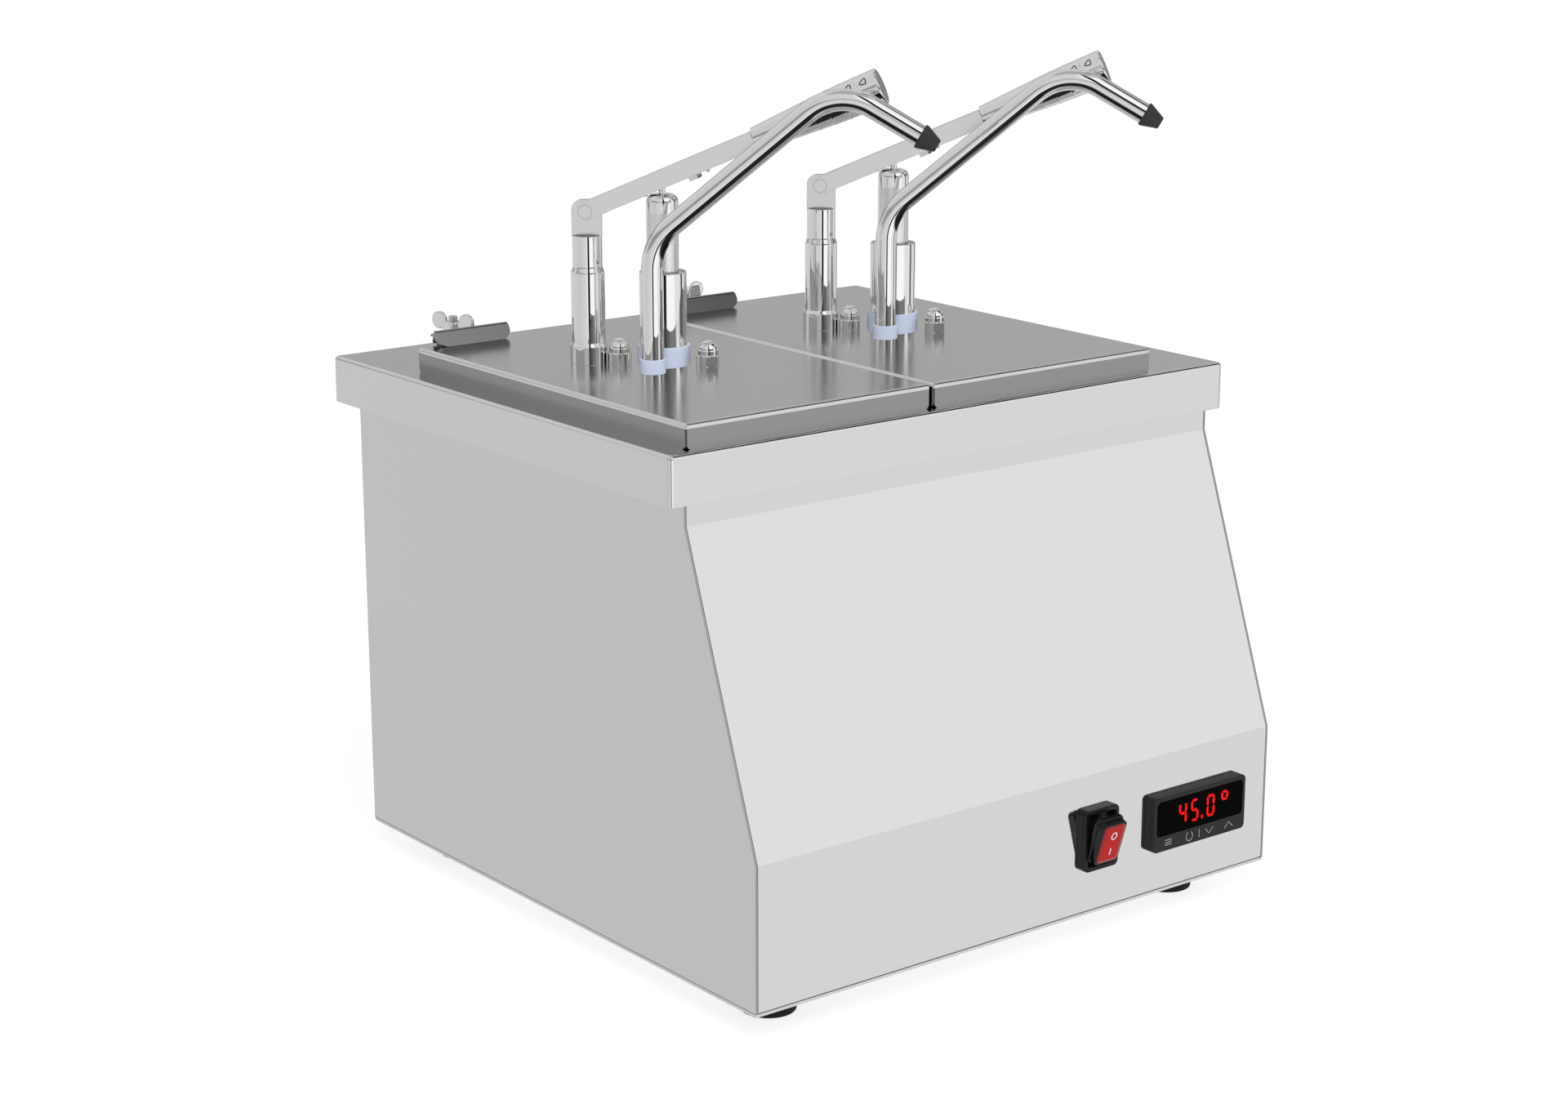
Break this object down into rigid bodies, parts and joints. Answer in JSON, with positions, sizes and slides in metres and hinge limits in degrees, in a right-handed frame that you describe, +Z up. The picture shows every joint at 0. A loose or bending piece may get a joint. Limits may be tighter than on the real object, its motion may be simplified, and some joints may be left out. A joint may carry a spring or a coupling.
{
  "type": "heated sauce pump",
  "caption": "Counter-top heated sauce dispenser: sloping-front steel cabinet with a water bath, lidded pans and lever pumps with curved spouts, a temperature display and a rocker switch.",
  "frame": {"origin": "centre of the bounding box at the level that the feet stand on", "axes": "+X to the right seen from the front, +Y towards the rear, -Y towards the operator, +Z up"},
  "size_m": [0.4224, 0.434, 0.515],
  "materials": {
    "casing_steel": "satin",
    "front_steel": "satin",
    "deck_steel": "satin",
    "lid_steel": "satin",
    "clamp_steel": "satin",
    "lever_steel": "satin",
    "bright_steel": "polished",
    "chromed": "mirror",
    "pan_steel": "satin",
    "element_metal": "matt",
    "foot_rubber": "matt",
    "boot_rubber": "satin",
    "seal_rubber": "matt",
    "nozzle_rubber": "satin",
    "black_plastic": "satin",
    "ring_plastic": "gloss",
    "valve_plastic": "satin",
    "red_lens": "clear gloss",
    "display_glass": "gloss",
    "board_green": "satin"
  },
  "bodies": {
    "casing": {"casing_shell": "casing_steel", "front_panel": "front_steel", "base_plate": "casing_steel", "base_screws": "bright_steel", "feet": "foot_rubber", "foot_screws": "bright_steel", "deck": "deck_steel", "clamp_studs": "bright_steel", "water_tank": "pan_steel", "heating_element": "element_metal", "temperature_probe": "bright_steel", "controller_case": "black_plastic", "display_window": "display_glass", "switch_body": "black_plastic", "cable_gland": "black_plastic", "relay_board": "board_green"},
    "rocker": {"rocker_lens": "red_lens", "switch_boot": "boot_rubber"},
    "pan_body_1": {"pan_1": "pan_steel"},
    "lid_body_1": {"lid_1": "lid_steel", "seal_rings_1": "ring_plastic", "pump_flange_1": "bright_steel", "dome_nuts_1": "chromed", "barrel_1": "chromed", "valve_block_1": "valve_plastic", "spout_tube_1": "chromed", "nozzle_1": "nozzle_rubber", "post_1": "chromed", "pivot_pin_1": "bright_steel"},
    "lever_body_1": {"lever_1": "lever_steel", "lever_screws_1": "bright_steel", "grip_1": "chromed"},
    "plunger_body_1": {"plunger_1": "chromed", "piston_seals_1": "seal_rubber", "return_spring_1": "bright_steel"},
    "ball_body_1": {"inlet_ball_1": "bright_steel"},
    "clamp_body_1": {"clamp_1": "clamp_steel"},
    "wing_nut_body_1": {"wing_nut_1": "bright_steel"},
    "pan_body_2": {"pan_2": "pan_steel"},
    "lid_body_2": {"lid_2": "lid_steel", "seal_rings_2": "ring_plastic", "pump_flange_2": "bright_steel", "dome_nuts_2": "chromed", "barrel_2": "chromed", "valve_block_2": "valve_plastic", "spout_tube_2": "chromed", "nozzle_2": "nozzle_rubber", "post_2": "chromed", "pivot_pin_2": "bright_steel"},
    "lever_body_2": {"lever_2": "lever_steel", "lever_screws_2": "bright_steel", "grip_2": "chromed"},
    "plunger_body_2": {"plunger_2": "chromed", "piston_seals_2": "seal_rubber", "return_spring_2": "bright_steel"},
    "ball_body_2": {"inlet_ball_2": "bright_steel"},
    "clamp_body_2": {"clamp_2": "clamp_steel"},
    "wing_nut_body_2": {"wing_nut_2": "bright_steel"}
  },
  "joints": [
    {"name": "pan_lift_1", "type": "slide", "parent": "casing", "child": "pan_body_1", "axis": [0, 0, 1], "range_m": [0, 0.17]},
    {"name": "lid_lift_1", "type": "slide", "parent": "pan_body_1", "child": "lid_body_1", "axis": [0, 0, 1], "range_m": [0, 0.17]},
    {"name": "lever_swing_1", "type": "hinge", "parent": "lid_body_1", "child": "lever_body_1", "pos_m": [-0.13826, 0.04095, 0.4304], "axis": [0.7193, 0.6947, 0], "range_deg": [0, 35], "stiffness_Nm_per_rad": 0.6, "springref_deg": -51.57},
    {"name": "plunger_stroke_1", "type": "slide", "parent": "lid_body_1", "child": "plunger_body_1", "axis": [0, 0, -1], "range_m": [0, 0.0295], "deforming": ["return_spring_1"]},
    {"name": "ball_lift_1", "type": "slide", "parent": "lid_body_1", "child": "ball_body_1", "axis": [0, 0, 1], "range_m": [0, 0.003]},
    {"name": "clamp_swivel_1", "type": "hinge", "parent": "lid_body_1", "child": "clamp_body_1", "pos_m": [-0.1588, 0.15908, 0.3401], "axis": [0, 0, 1], "range_deg": [0, 180]},
    {"name": "wing_nut_turn_1", "type": "hinge", "parent": "lid_body_1", "child": "wing_nut_body_1", "pos_m": [-0.1588, 0.15908, 0.3481], "axis": [0, 0, 1], "continuous": true},
    {"name": "pan_lift_2", "type": "slide", "parent": "casing", "child": "pan_body_2", "axis": [0, 0, 1], "range_m": [0, 0.12]},
    {"name": "lid_lift_2", "type": "slide", "parent": "pan_body_2", "child": "lid_body_2", "axis": [0, 0, 1], "range_m": [0, 0.12]},
    {"name": "lever_swing_2", "type": "hinge", "parent": "lid_body_2", "child": "lever_body_2", "pos_m": [0.03794, 0.04095, 0.4304], "axis": [0.7193, 0.6947, 0], "range_deg": [0, 35], "stiffness_Nm_per_rad": 0.6, "springref_deg": -51.57},
    {"name": "plunger_stroke_2", "type": "slide", "parent": "lid_body_2", "child": "plunger_body_2", "axis": [0, 0, -1], "range_m": [0, 0.0295], "deforming": ["return_spring_2"]},
    {"name": "ball_lift_2", "type": "slide", "parent": "lid_body_2", "child": "ball_body_2", "axis": [0, 0, 1], "range_m": [0, 0.003]},
    {"name": "clamp_swivel_2", "type": "hinge", "parent": "lid_body_2", "child": "clamp_body_2", "pos_m": [0.0174, 0.15908, 0.3401], "axis": [0, 0, 1], "range_deg": [0, 180]},
    {"name": "wing_nut_turn_2", "type": "hinge", "parent": "lid_body_2", "child": "wing_nut_body_2", "pos_m": [0.0174, 0.15908, 0.3481], "axis": [0, 0, 1], "continuous": true},
    {"name": "rocker_switch", "type": "hinge", "parent": "casing", "child": "rocker", "pos_m": [0.0557, -0.20942, 0.0671], "axis": [-1, 0, 0], "range_deg": [0, 34]}
  ],
  "couplings": [
    {"joint": "plunger_stroke_1", "follows": "lever_swing_1", "m_per_rad": 0.0475},
    {"joint": "plunger_stroke_2", "follows": "lever_swing_2", "m_per_rad": 0.0475}
  ]
}
